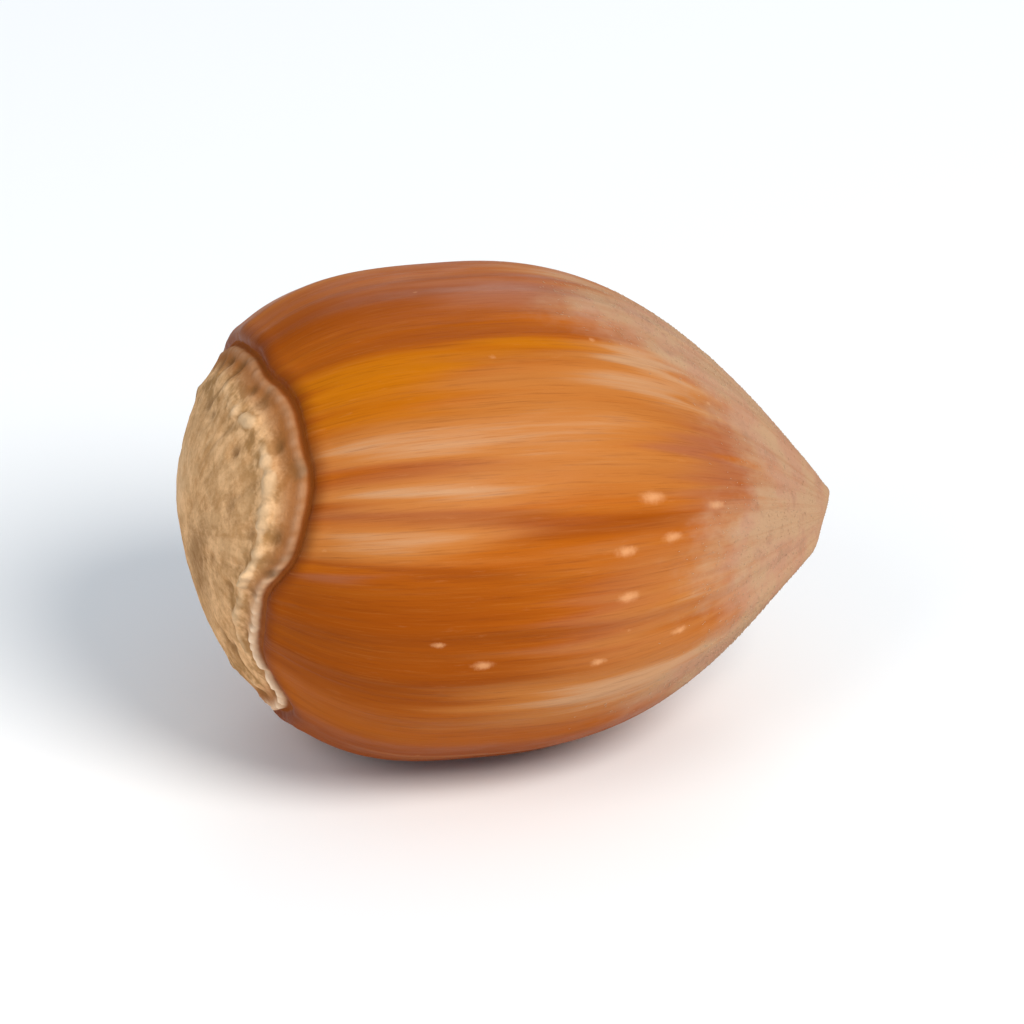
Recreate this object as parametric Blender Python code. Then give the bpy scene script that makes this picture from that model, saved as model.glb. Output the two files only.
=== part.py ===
"""A hazelnut in its shell, lying on its side on a level surface, with its tip at +X.

The nut grew as one piece, so it is one closed body. Its form is an outline turned about the nut's own
axis and a little flattened. The outline has two stretches: the domed hilum, which is the pale scar where
the nut sat in its husk, and the brown shell, which swells and then draws in to the tip. Ribs, keels, the
ragged edge of the brown skin and the wrinkles and pits of the hilum are raised from that form by formulas.

Angles round the nut's axis start at the front, which is -Y, and pass over the top, which is +Z.
"""

import math

import bmesh
import bpy
import numpy as np
from mathutils import Matrix

MM = 0.001

# Driving dimensions
LENGTH = 24.98 * MM
WIDTH = 19.4 * MM
THICKNESS = 18.5 * MM
TIP_DROOP = math.radians(2.37)
FLAT_SPOT_DEPTH = 0.24 * MM

# Outline. The hilum's plane leans by this share of the height, so that its top stands out further
HILUM_RADIUS = 7.35 * MM
HILUM_CROWN = 2.6 * MM
CROWN_POWER = 2.85
HILUM_LEAN = -0.045
RIM_TO_WIDEST = 7.8 * MM
BASE_POWER = 3.3
NOSE_POWER = 2.36
NOSE_SHARPNESS = 1.22
CORNER_ROUNDING = 0.7 * MM
TIP_CUT = 0.97 * MM
TIP_ROUNDING = 0.06 * MM
TIP_LEAN_UP = 0.40
TIP_LEAN_SIDE = 0.28
OUTLINE_POINTS = 600
OUTLINE_STEP = 0.02 * MM

# Form round the axis: the tip's bend, and how far the section is from round, as shares of its radius
TIP_LIFT = -1.16 * MM
TIP_BEND_POWER = 4.8
TRIANGULAR_SWELL = 0.006
OVAL_SWELL = 0.005
OVAL_TWIST = 90

# Keels of the seam: angle in degrees, height, and how far from the tip they start, are full, fade and end
KEELS = ((-21, 0.26 * MM), (159, 0.26 * MM), (70, 0.14 * MM), (250, 0.14 * MM))
KEEL_HALF_WIDTH = math.radians(13)
KEEL_START = 0.6 * MM
KEEL_FULL = 3 * MM
KEEL_FADE = 6 * MM
KEEL_END = 15 * MM

# Ribs that run from the edge of the brown skin towards the tip
RIB_COUNT = 29
RIB_HEIGHT = 0.12 * MM
RIB_HALF_WIDTH = math.radians(3.2)
RIB_SWAY = math.radians(1.5)
RIB_SWAY_LENGTH = 6 * MM
RIB_START = 0.8 * MM
RIB_FADE = 13 * MM
RIB_END = 0.5 * MM
LEDGE_ANGLE = math.radians(18.5)
LEDGE_SLOPE = math.radians(-0.7) / MM
LEDGE_STEP = math.radians(4.6)
LEDGE_WIDTH = math.radians(26)
LEDGE_HEIGHT = 0.13 * MM
LEDGE_REACH = 9 * MM

# Edge of the brown skin round the hilum
SKIN_HEIGHT = 0.11 * MM
SKIN_STEP = 0.35 * MM
ROLL_HEIGHT = 0.06 * MM
ROLL_PLACE = 0.55 * MM
ROLL_HALF_WIDTH = 0.45 * MM
CREVICE_DEPTH = 0.17 * MM
CREVICE_PLACE = -0.14 * MM
CREVICE_HALF_WIDTH = 0.17 * MM
LIP_HEIGHT = 0.22 * MM
LIP_PLACE = -0.5 * MM
LIP_HALF_WIDTH = 0.26 * MM
LIP_LEAST = 0.15
LIP_ANGLE = math.radians(-38)
LIP_SPREAD = math.radians(34)
SCALLOP_DEPTH = 0.16 * MM
SCALLOP_WAVES = (2, 3, 5, 9, 14, 23)
TONGUE_ANGLE = math.radians(-13)
TONGUE_REACH = 2.15 * MM
TONGUE_UPPER_WIDTH = math.radians(28)
TONGUE_LOWER_WIDTH = math.radians(26)
BAY_ANGLE = math.radians(52)
BAY_DEPTH = 0.8 * MM
BAY_HALF_WIDTH = math.radians(23)

# Hilum. Places are shares of the way out from its middle to its rim
WRINKLE_COUNT = 30
WRINKLE_DEPTH = 0.08 * MM
WRINKLE_BEND = math.radians(7)
# Each row of pits: its place, how many pits, their depth and how far they scatter from that place
PIT_ROWS = (
    (0.45, 7, 0.10 * MM, 0.08),
    (0.64, 13, 0.18 * MM, 0.06),
    (0.88, 27, 0.24 * MM, 0.04),
)
PIT_HALF_WIDTH = 0.24 * MM
RIDGE_PLACE = 0.77
RIDGE_WAVER = 0.022
RIDGE_HALF_WIDTH = 0.042
RIDGE_HEIGHT = 0.26 * MM
RIDGE_KNOTS = (11, 17)
RIDGE_GAPS = 0.3
RIDGE_HIGHEST_ANGLE = math.radians(26)
BOSS_HEIGHT = 0.30 * MM
BOSS_HALF_WIDTH = 0.32
BOSS_PLACE = (-0.15, 0.10)
RIM_FADE = 0.05

# Faces
SEGMENTS = 144
HILUM_RINGS = 13
SHELL_RINGS = 29
RING_CROWDING = 1.5
TIP_CROWDING = 1.6
CUT_SNAP = 0.02 * MM
SEED = 7

SHELL_COLOUR = (0.42, 0.13, 0.022, 1.0)
SHELL_ROUGHNESS = 0.42
HILUM_COLOUR = (0.50, 0.31, 0.16, 1.0)
HILUM_ROUGHNESS = 0.85

RADIUS = (WIDTH + THICKNESS) / 4
RIM_TO_TIP = LENGTH - HILUM_CROWN
TURN = 2 * math.pi


def hump(distance, half_width, power=2):
    """1 at no distance, falling smoothly to 0 past the half width."""
    return np.exp(-(np.abs(distance / half_width) ** power))


def rise(value, start, end):
    """0 before start, 1 after end, and smooth between them."""
    share = np.clip((value - start) / (end - start), 0, 1)
    return share * share * (3 - 2 * share)


def turn(angle, centre):
    """The way from centre round to angle, from minus half a turn to half a turn."""
    return (angle - centre + math.pi) % TURN - math.pi


def blunted(x, y, z):
    """Presses back what lies beyond a leaning plane, for the blunt tip where the flower dried off."""
    plane = RIM_TO_TIP + TIP_LEAN_SIDE * y + TIP_LEAN_UP * (z - TIP_LIFT)
    return -TIP_ROUNDING * np.logaddexp(-x / TIP_ROUNDING, -plane / TIP_ROUNDING)


def outline():
    """The nut's half profile from the hilum's middle to the tip, evenly spaced along its length.

    It gives the way travelled along the profile, the place along the axis, counted from the rim's plane,
    the radius, the way travelled at the rim, and the profile's outward direction.
    """
    share = np.linspace(0, 1, OUTLINE_POINTS)
    nose = np.sin(share * math.pi / 2)
    place = np.concatenate([
        -HILUM_CROWN * (1 - share**CROWN_POWER),
        RIM_TO_WIDEST * share[1:],
        RIM_TO_WIDEST + (RIM_TO_TIP + TIP_CUT - RIM_TO_WIDEST) * nose[1:],
    ])
    radius = np.concatenate([
        HILUM_RADIUS * share,
        RADIUS - (RADIUS - HILUM_RADIUS) * (1 - share[1:]) ** BASE_POWER,
        RADIUS * (1 - nose[1:] ** NOSE_POWER) ** NOSE_SHARPNESS,
    ])
    travelled = np.concatenate([[0], np.cumsum(np.hypot(np.diff(place), np.diff(radius)))])
    rim = travelled[len(share) - 1]
    travel = np.linspace(0, travelled[-1], int(travelled[-1] / OUTLINE_STEP))
    place = np.interp(travel, travelled, place)
    radius = np.interp(travel, travelled, radius)
    kernel = np.ones(int(2 * CORNER_ROUNDING / OUTLINE_STEP) | 1)
    kernel /= len(kernel)
    near_corner = hump(travel - rim, 2 * CORNER_ROUNDING, 4)
    place += near_corner * (np.convolve(place, kernel, "same") - place)
    radius += near_corner * (np.convolve(radius, kernel, "same") - radius)
    along, out = np.gradient(place), np.gradient(radius)
    length = np.hypot(along, out)
    return {"travel": travel, "place": place, "radius": radius, "rim": rim,
            "normal_place": -out / length, "normal_radius": along / length}


def skin_edge(angle, profile):
    """How far along the profile the brown skin starts: a scalloped line with a bay and one long tongue."""
    rng = np.random.default_rng(SEED)
    edge = np.full_like(angle, profile["rim"])
    for waves in SCALLOP_WAVES:
        depth = SCALLOP_DEPTH * rng.uniform(1.5, 3.0) / (3 + waves)
        edge += depth * np.cos(waves * angle + rng.uniform(0, TURN))
    beyond = turn(angle, TONGUE_ANGLE)
    half_width = np.where(beyond > 0, TONGUE_UPPER_WIDTH, TONGUE_LOWER_WIDTH)
    edge += BAY_DEPTH * hump(turn(angle, BAY_ANGLE), BAY_HALF_WIDTH, 4)
    return edge - TONGUE_REACH * hump(beyond, half_width, 4)


def edge_relief(past_edge, angle):
    """The rolled margin of the skin, the crevice in front of it and the pale lip of the hilum."""
    lip = LIP_HEIGHT * (LIP_LEAST + (1 - LIP_LEAST) * hump(turn(angle, LIP_ANGLE), LIP_SPREAD))
    return (SKIN_HEIGHT * rise(past_edge, 0, SKIN_STEP)
            + ROLL_HEIGHT * hump(past_edge - ROLL_PLACE, ROLL_HALF_WIDTH)
            - CREVICE_DEPTH * hump(past_edge - CREVICE_PLACE, CREVICE_HALF_WIDTH)
            + lip * hump(past_edge - LIP_PLACE, LIP_HALF_WIDTH))


def rib_relief(travel, angle, past_edge, to_tip):
    """Low ribs, one at each bundle of fibres, and the ledge beside the tongue of skin."""
    rng = np.random.default_rng(SEED + 1)
    relief = np.zeros_like(angle)
    for number in range(RIB_COUNT):
        middle = (number + rng.uniform(-0.3, 0.3)) * TURN / RIB_COUNT
        height = RIB_HEIGHT * rng.uniform(0.35, 1.0)
        half_width = RIB_HALF_WIDTH * rng.uniform(0.7, 1.4)
        sway = RIB_SWAY * np.sin(travel / RIB_SWAY_LENGTH + rng.uniform(0, TURN))
        relief += height * hump(turn(angle, middle + sway), half_width)
    above = turn(angle, LEDGE_ANGLE + LEDGE_SLOPE * past_edge)
    ledge = rise(above, -LEDGE_STEP / 2, LEDGE_STEP / 2) * rise(-above, -LEDGE_WIDTH, -LEDGE_STEP)
    relief += LEDGE_HEIGHT * ledge * hump(past_edge, LEDGE_REACH)
    return relief * rise(past_edge, 0, RIB_START) * rise(to_tip, RIB_END, RIB_FADE)


def keel_relief(angle, to_tip):
    """The two keels of the shell's seam, and two weaker ones between them, all fading from the tip."""
    relief = np.zeros_like(angle)
    for degrees, height in KEELS:
        relief += height * hump(turn(angle, math.radians(degrees)), KEEL_HALF_WIDTH)
    return relief * rise(to_tip, KEEL_START, KEEL_FULL) * rise(-to_tip, -KEEL_END, -KEEL_FADE)


def ridge(outward, angle):
    """The wavering, knotted ridge of the hilum, from 0 to about 1."""
    strength = 0.6 + 0.4 * np.cos(2 * turn(angle, RIDGE_HIGHEST_ANGLE))
    for waves in RIDGE_KNOTS:
        strength *= 1 + RIDGE_GAPS * np.cos(waves * angle + waves)
    return strength * hump(outward - RIDGE_PLACE - RIDGE_WAVER * np.cos(7 * angle), RIDGE_HALF_WIDTH)


def hilum_relief(outward, angle):
    """Wrinkles that fan out from the middle, a ridge between broken rows of pits, and an off-centre boss."""
    rng = np.random.default_rng(SEED + 2)
    relief = np.zeros_like(angle)
    for number in range(WRINKLE_COUNT):
        middle = (number + rng.uniform(-0.35, 0.35)) * TURN / WRINKLE_COUNT
        inner = rng.uniform(0.3, 0.7)
        depth = WRINKLE_DEPTH * rng.uniform(0.3, 1.0)
        half_width = math.radians(rng.uniform(1.8, 3.6))
        bend = WRINKLE_BEND * np.sin(4 * outward + rng.uniform(0, TURN))
        relief -= depth * hump(turn(angle, middle + bend), half_width) * rise(outward, inner, inner + 0.2)
    for row_place, count, row_depth, scatter in PIT_ROWS:
        for number in range(count):
            middle = (number + rng.uniform(-0.4, 0.4)) * TURN / count
            place = row_place + rng.uniform(-scatter, scatter)
            half_width = PIT_HALF_WIDTH * rng.uniform(0.8, 1.5) / (place * HILUM_RADIUS)
            reach = rng.uniform(0.03, 0.06)
            depth = row_depth * rng.uniform(0.35, 1.0)
            relief -= depth * hump(turn(angle, middle), half_width) * hump(outward - place, reach)
    relief += RIDGE_HEIGHT * ridge(outward, angle)
    from_boss = np.hypot(outward * np.cos(angle) - BOSS_PLACE[0], outward * np.sin(angle) - BOSS_PLACE[1])
    relief += BOSS_HEIGHT * hump(from_boss, BOSS_HALF_WIDTH)
    return relief * rise(-outward, -1, -1 + RIM_FADE)


def ring_travel(ring, angle, profile):
    """How far along the profile each ring of points lies. Rings crowd at the skin's edge and the tip."""
    edge = skin_edge(angle, profile)
    inside = np.clip(ring / HILUM_RINGS, 0, 1)
    outside = np.clip((ring - HILUM_RINGS) / SHELL_RINGS, 0, 1)
    spread = outside**RING_CROWDING * (1 - outside) + (1 - (1 - outside) ** TIP_CROWDING) * outside
    shell_arc = profile["travel"][-1] - edge
    return edge * (1 - (1 - inside) ** RING_CROWDING) + shell_arc * spread


def nut_points(ring, angle):
    """Points of the surface in the nut's own frame: its axis along X, the middle of the rim at the origin."""
    profile = outline()
    travel = ring_travel(ring, angle, profile)
    edge = skin_edge(angle, profile)
    past_edge = travel - edge
    to_tip = profile["travel"][-1] - travel
    relief = (edge_relief(past_edge, angle)
              + rib_relief(travel, angle, past_edge, to_tip)
              + keel_relief(angle, to_tip)
              + hilum_relief(travel / edge, angle))
    place, radius, out_along, out_round = (
        np.interp(travel, profile["travel"], profile[key])
        for key in ("place", "radius", "normal_place", "normal_radius")
    )
    swell = (1 + TRIANGULAR_SWELL * np.cos(3 * angle + 1.1)
             + OVAL_SWELL * np.cos(2 * angle - 0.7 + OVAL_TWIST * place))
    x = place + out_along * relief
    reach = radius * swell + out_round * relief
    toward_tip = np.clip(place / RIM_TO_TIP, 0, 1) ** TIP_BEND_POWER
    y = -reach * np.cos(angle) * (WIDTH / 2 / RADIUS)
    z = reach * np.sin(angle) * (THICKNESS / 2 / RADIUS) + TIP_LIFT * toward_tip
    x += HILUM_LEAN * z * rise(-place, -RIM_TO_WIDEST, 0)
    return np.column_stack([blunted(x, y, z), y, z])


def laid_down(points):
    """The nut turned tip down as it lies, the middle of its box over the origin.

    It reaches below Z = 0 by the depth of the flat spot, which is then cut off there.
    """
    turned = points @ np.array(Matrix.Rotation(TIP_DROOP, 3, "Y")).T
    turned[:, 2] -= turned[:, 2].min() + FLAT_SPOT_DEPTH
    turned[:, :2] -= (turned[:, :2].min(axis=0) + turned[:, :2].max(axis=0)) / 2
    return turned


def cut_flat_spot(shape):
    """Cuts off what lies below Z = 0 and closes the cut with one flat face."""
    everything = shape.verts[:] + shape.edges[:] + shape.faces[:]
    cut = bmesh.ops.bisect_plane(shape, geom=everything, dist=CUT_SNAP, use_snap_center=True,
                                 plane_co=(0, 0, 0), plane_no=(0, 0, 1), clear_inner=True)
    border = [item for item in cut["geom_cut"] if isinstance(item, bmesh.types.BMEdge)]
    for face in bmesh.ops.edgeloop_fill(shape, edges=border)["faces"]:
        face.smooth = False


def material(name, colour, roughness):
    made = bpy.data.materials.new(name)
    made.use_nodes = True
    shader = made.node_tree.nodes["Principled BSDF"]
    shader.inputs["Base Color"].default_value = colour
    shader.inputs["Roughness"].default_value = roughness
    shader.inputs["Metallic"].default_value = 0.0
    return made


def make_hazelnut():
    """A UV sphere whose poles become the middle of the hilum and the tip."""
    rings = HILUM_RINGS + SHELL_RINGS
    shape = bmesh.new()
    bmesh.ops.create_uvsphere(shape, u_segments=SEGMENTS, v_segments=rings, radius=1)
    sphere = np.array([corner.co for corner in shape.verts])
    ring = np.rint(np.arccos(np.clip(-sphere[:, 2], -1, 1)) / math.pi * rings)
    angle = np.arctan2(sphere[:, 1], -sphere[:, 0])
    for corner, point in zip(shape.verts, laid_down(nut_points(ring, angle))):
        corner.co = point
    for face in shape.faces:
        face.smooth = True
        middle_ring = sum(ring[corner.index] for corner in face.verts) / len(face.verts)
        face.material_index = 1 if middle_ring < HILUM_RINGS else 0
    cut_flat_spot(shape)
    mesh = bpy.data.meshes.new("hazelnut")
    shape.to_mesh(mesh)
    shape.free()
    mesh.materials.append(material("shell", SHELL_COLOUR, SHELL_ROUGHNESS))
    mesh.materials.append(material("hilum", HILUM_COLOUR, HILUM_ROUGHNESS))
    return bpy.data.objects.new("hazelnut", mesh)


def main():
    for old in list(bpy.data.objects):
        bpy.data.objects.remove(old)
    collection = bpy.data.collections.new("hazelnut")
    bpy.context.scene.collection.children.link(collection)
    collection.objects.link(make_hazelnut())


main()
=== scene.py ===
"""The dressed hazelnut: a fine skin in place of the solid, its materials, the floor, lights and camera.

The skin follows the same formulas as the solid, with finer relief, and short down grows on it near the tip.
Every vertex carries how far it lies from the middle of the hilum and at what angle round the nut's axis, and
the materials are painted by nodes from those values. Angles start at the front, which is -Y, and pass over
the top, which is +Z. Shares run from 0 at the edge of the brown skin to 1 at the tip.
"""

import math

import bmesh
import bpy
import numpy as np
from mathutils import Matrix, Vector


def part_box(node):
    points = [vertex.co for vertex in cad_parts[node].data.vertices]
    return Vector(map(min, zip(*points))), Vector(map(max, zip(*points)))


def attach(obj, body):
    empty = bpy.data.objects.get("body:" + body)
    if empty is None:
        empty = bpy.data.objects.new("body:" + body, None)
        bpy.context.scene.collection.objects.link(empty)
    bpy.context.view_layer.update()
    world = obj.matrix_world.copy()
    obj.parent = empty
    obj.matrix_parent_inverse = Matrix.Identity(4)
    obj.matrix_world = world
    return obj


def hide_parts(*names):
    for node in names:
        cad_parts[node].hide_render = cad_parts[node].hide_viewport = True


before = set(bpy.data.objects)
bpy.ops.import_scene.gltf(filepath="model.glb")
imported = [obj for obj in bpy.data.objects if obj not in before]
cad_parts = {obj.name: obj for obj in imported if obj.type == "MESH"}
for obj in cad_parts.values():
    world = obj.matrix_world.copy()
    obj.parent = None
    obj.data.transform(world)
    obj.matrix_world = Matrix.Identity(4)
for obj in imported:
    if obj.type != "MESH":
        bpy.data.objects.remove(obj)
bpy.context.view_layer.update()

MM = 0.001
TURN = 2 * math.pi
NODE = "hazelnut"

# The solid's driving dimensions
LENGTH = 24.98 * MM
WIDTH = 19.4 * MM
THICKNESS = 18.5 * MM
TIP_DROOP = math.radians(2.37)
FLAT_SPOT_DEPTH = 0.24 * MM

# Outline. The hilum's plane leans by this share of the height, so that its top stands out further
HILUM_RADIUS = 7.35 * MM
HILUM_CROWN = 2.6 * MM
CROWN_POWER = 2.85
HILUM_LEAN = -0.045
RIM_TO_WIDEST = 7.8 * MM
BASE_POWER = 3.3
NOSE_POWER = 2.36
NOSE_SHARPNESS = 1.22
CORNER_ROUNDING = 0.7 * MM
TIP_CUT = 0.97 * MM
TIP_ROUNDING = 0.06 * MM
TIP_LEAN_UP = 0.40
TIP_LEAN_SIDE = 0.28
OUTLINE_POINTS = 600
OUTLINE_STEP = 0.02 * MM

# Form round the axis: the tip's bend, and how far the section is from round, as shares of its radius
TIP_LIFT = -1.16 * MM
TIP_BEND_POWER = 4.8
TRIANGULAR_SWELL = 0.006
OVAL_SWELL = 0.005
OVAL_TWIST = 90

# Keels of the seam: angle in degrees, height, and how far from the tip they start, are full, fade and end
KEELS = ((-21, 0.26 * MM), (159, 0.26 * MM), (70, 0.14 * MM), (250, 0.14 * MM))
KEEL_HALF_WIDTH = math.radians(13)
KEEL_START = 0.6 * MM
KEEL_FULL = 3 * MM
KEEL_FADE = 6 * MM
KEEL_END = 15 * MM

# Ribs that run from the edge of the brown skin towards the tip
RIB_COUNT = 29
RIB_HEIGHT = 0.12 * MM
RIB_HALF_WIDTH = math.radians(3.2)
RIB_SWAY = math.radians(1.5)
RIB_SWAY_LENGTH = 6 * MM
RIB_START = 0.8 * MM
RIB_FADE = 13 * MM
RIB_END = 0.5 * MM
LEDGE_ANGLE = math.radians(18.5)
LEDGE_SLOPE = math.radians(-0.7) / MM
LEDGE_STEP = math.radians(4.6)
LEDGE_WIDTH = math.radians(26)
LEDGE_HEIGHT = 0.13 * MM
LEDGE_REACH = 9 * MM

# Edge of the brown skin round the hilum, crisper here than on the solid
SKIN_HEIGHT = 0.11 * MM
SKIN_STEP = 0.24 * MM
ROLL_HEIGHT = 0.06 * MM
ROLL_PLACE = 0.45 * MM
ROLL_HALF_WIDTH = 0.4 * MM
CREVICE_DEPTH = 0.14 * MM
CREVICE_PLACE = -0.12 * MM
CREVICE_HALF_WIDTH = 0.17 * MM
LIP_HEIGHT = 0.24 * MM
LIP_PLACE = -0.46 * MM
LIP_HALF_WIDTH = 0.22 * MM
LIP_LEAST = 0.15
LIP_ANGLE = math.radians(-38)
LIP_SPREAD = math.radians(34)
SCALLOP_DEPTH = 0.16 * MM
SCALLOP_WAVES = (2, 3, 5, 9, 14, 23)
TONGUE_ANGLE = math.radians(-13)
TONGUE_REACH = 2.15 * MM
TONGUE_UPPER_WIDTH = math.radians(28)
TONGUE_LOWER_WIDTH = math.radians(26)
BAY_ANGLE = math.radians(52)
BAY_DEPTH = 0.8 * MM
BAY_HALF_WIDTH = math.radians(23)

# Hilum. Places are shares of the way out from its middle to its rim
WRINKLE_COUNT = 30
WRINKLE_DEPTH = 0.08 * MM
WRINKLE_BEND = math.radians(7)
# Each row of pits: its place, how many pits, their depth and how far they scatter from that place
PIT_ROWS = (
    (0.45, 7, 0.10 * MM, 0.08),
    (0.64, 13, 0.18 * MM, 0.06),
    (0.88, 27, 0.24 * MM, 0.04),
)
PIT_HALF_WIDTH = 0.24 * MM
RIDGE_PLACE = 0.77
RIDGE_WAVER = 0.022
RIDGE_HALF_WIDTH = 0.042
RIDGE_HEIGHT = 0.26 * MM
RIDGE_KNOTS = (11, 17)
RIDGE_GAPS = 0.3
RIDGE_CRUMBS = (29, 43, 67)
CRUMB_GAPS = 0.16
RIDGE_HIGHEST_ANGLE = math.radians(26)
BOSS_HEIGHT = 0.30 * MM
BOSS_HALF_WIDTH = 0.32
BOSS_PLACE = (-0.15, 0.10)
RIM_FADE = 0.05
RING_CROWDING = 1.5
TIP_CROWDING = 1.6
SEED = 7

# The skin's own finer detail
SEGMENTS = 720
HILUM_RINGS = 44
SHELL_RINGS = 94
FINE_RIB_COUNT = 130
FINE_RIB_HEIGHT = 0.022 * MM
# Half widths are in degrees, and places along the shell and reaches from there in millimetres
FINE_RIB_HALF_WIDTHS = (0.5, 1.5)
FINE_RIB_PLACES = (2, 24)
FINE_RIB_REACHES = (3, 10)
FINE_RIB_SWAY = math.radians(1.2)
FINE_RIB_SWAY_LENGTH = 5 * MM
FINE_RIB_FADE = 5 * MM
FRAY_DEPTH = 0.010 * MM
FRAY_WAVES = (37, 61)
DIMPLE_COUNT = 260
DIMPLE_DEPTH = 0.055 * MM
DIMPLE_SIZES = (0.015, 0.045)
TORN_WAVES = (47, 71, 113)
TORN_SHARE = 0.45
# The outer zone of the hilum is brown and weathered except here, beside the tongue of skin
FRESH_ANGLE = math.radians(-20)
FRESH_HALF_WIDTH = math.radians(30)
# The brown spot at the tip
APEX_RADIUS = 0.45 * MM

# Down near the tip. It starts at a share of the shell's length, and fades in over twice DOWN_FADE. Each reach
# is an angle and half width in degrees, and how much nearer to the tip the down starts there. It starts
# further from the tip where that is negative.
DOWN_START = 0.68
DOWN_FADE = 0.17
DOWN_REACHES = (
    (84, 26, -0.23),
    (62, 5, 0.03),
    (40, 16, 0.04),
    (0, 18, -0.07),
    (-13, 6, 0.04),
    (-34, 14, -0.16),
)
HAIR_COUNT = 4200
HAIR_LENGTH = 0.30 * MM
HAIR_RADIUS = 0.009 * MM
HAIR_LIFT = 0.14
HAIR_SPREAD = 0.7
HAIR_ROOT = 0.02 * MM
HAIR_RINGS = (0.42, 0.97)
HAIR_SHARES = (0.36, 0.97)
HAIR_LENGTHS = (0.5, 1.2)
HAIR_LIFTS = (0.3, 1.4)
# The second ring of a hair's corners is this much thinner than the first
HAIR_TAPER = 0.8

# Streaks along the shell that show in the photo: angle and half width in degrees, how far the angle turns
# over the shell's whole length, middle and half length as shares of that length, and strength.
# Dark streaks, and one row of painted shade along the underside
DARK_STREAKS_AND_SHADE = (
    (89, 11, 0, 0.14, 0.20, 0.9),
    (76, 7, 0, 0.22, 0.22, 0.35),
    (71.5, 4, 0, 0.15, 0.15, 0.5),
    (57.5, 1.3, -14, 0.38, 0.17, 0.45),
    (37.3, 1.6, -13, 0.20, 0.16, 0.55),
    (27, 1.9, -20, 0.20, 0.20, 1.0),
    (21.5, 3.0, -3, 0.43, 0.16, 0.95),
    (15.5, 1.4, -20, 0.14, 0.16, 0.7),
    (3, 9, 0, 0.16, 0.23, 0.8),
    (-14, 11, 0, 0.18, 0.25, 1.0),
    (34, 2.4, -8, 0.53, 0.09, 0.5),
    (47, 4.0, -8, 0.54, 0.09, 0.5),
    # Painted shade: darker along the underside, where the nut sits over the floor
    (-62, 22, 0, 0.30, 0.50, 1.0),
)
GOLD_STREAKS = (
    (62.5, 6.2, -3, 0.12, 0.13, 1.0),
    (65.5, 2.4, 0, 0.28, 0.15, 0.6),
    (68.5, 1.8, -3, 0.38, 0.10, 0.9),
    (53, 3.5, -8, 0.10, 0.12, 0.6),
)
# Russet streaks, and one row of painted reflection along the top
RUSSET_STREAKS_AND_SHEEN = (
    (43, 14, -15, 0.62, 0.10, 0.8),
    # Painted reflection: a mauve sheen along the top of the nut, in russet
    (88, 8, -10, 0.37, 0.11, 0.9),
    (13.5, 1.7, 0, 0.05, 0.05, 0.6),
    (-8, 10, 0, 0.46, 0.12, 0.2),
    (27, 6, -10, 0.62, 0.08, 0.5),
    (32, 16, -14, 0.14, 0.16, 0.5),
    (0, 20, 0, 0.50, 0.10, 0.5),
)
# Pale streaks: partly the shell's own pale tan, and partly painted sheen where the soft highlight lies
PALE_STREAKS_AND_SHEEN = (
    (45, 4.6, -14, 0.15, 0.15, 1.0),
    (33, 3.1, -14, 0.16, 0.17, 1.1),
    (22.5, 4.8, -14, 0.14, 0.16, 1.0),
    (47, 12.5, -18, 0.37, 0.20, 0.8),
    (36, 9, -10, 0.38, 0.22, 0.6),
    (14, 5, 0, 0.41, 0.13, 0.35),
    (0, 20, 0, 0.56, 0.11, 0.55),
    (60, 5.0, -8, 0.33, 0.11, 0.5),
    (58, 6.0, -22, 0.51, 0.13, 1.0),
    (66, 8.0, -10, 0.54, 0.10, 1.15),
    (-22, 6.0, -6, 0.53, 0.19, 1.2),
    (-13, 7, 0, 0.46, 0.17, 0.4),
    (-27, 7, 0, 0.48, 0.24, 0.8),
    (-4, 4.0, -70, 0.68, 0.10, 0.8),
    (102, 7, -20, 0.52, 0.13, 1.0),
)
# Each kind of streak: its name, its rows, and the seed and count of the ones on the sides that don't show
STREAK_KINDS = (
    ("dark", DARK_STREAKS_AND_SHADE, 21, 30),
    ("gold", GOLD_STREAKS, 22, 20),
    ("russet", RUSSET_STREAKS_AND_SHEEN, 24, 14),
    ("pale", PALE_STREAKS_AND_SHEEN, 23, 30),
)
HIDDEN_SIDE = (112, 310)
# Each fibre ends at its own place, and sways a little
ENDS_SCATTER = 0.018
ENDS_WAVES = (17, 29, 43, 61, 89)
FIBRE_SWAY = math.radians(0.8)

# Pale flecks that show in the photo: angle, share of the shell's length and half width in millimetres
FLECKS = (
    (28, 0.50, 0.32),
    (25, 0.625, 0.26),
    (17.5, 0.54, 0.26),
    (15.5, 0.465, 0.26),
    (4, 0.49, 0.26),
    (-3.5, 0.24, 0.15),
    (-9.5, 0.30, 0.22),
    (-12, 0.455, 0.18),
    (-10, 0.58, 0.20),
    (-31, 0.59, 0.17),
)

# Flecks are longer along the shell than across it
FLECK_SHAPE = (1.25, 1.25, 0.6)

RADIUS = (WIDTH + THICKNESS) / 4
RIM_TO_TIP = LENGTH - HILUM_CROWN

# The view, the floor and the lights
AZIMUTH = -15
ELEVATION = 27
CAMERA_DISTANCE = 0.36
LENS = 330
AIMED_BELOW_MIDDLE = 0.5 * MM
FLOOR_HALF_SIZE = 1.5
FLOOR_COLOUR = (0.90, 0.90, 0.90, 1.0)
SKY_COLOUR = (0.74, 0.87, 1.0, 1.0)
SKY_STRENGTH = 0.50
LIGHTS_AIM = (0, 0, 0.009)
# Each light: name, position and size in metres, power in watts and colour
LIGHTS = (
    ("key", (0.14, -0.27, 0.30), 0.22, 1.66, (1.0, 0.955, 0.90)),
    ("fill", (-0.28, -0.16, 0.26), 0.25, 0.41, (1.0, 0.97, 0.93)),
    ("back", (0.12, 0.38, 0.22), 0.25, 0.35, (1.0, 1.0, 1.0)),
)


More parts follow.
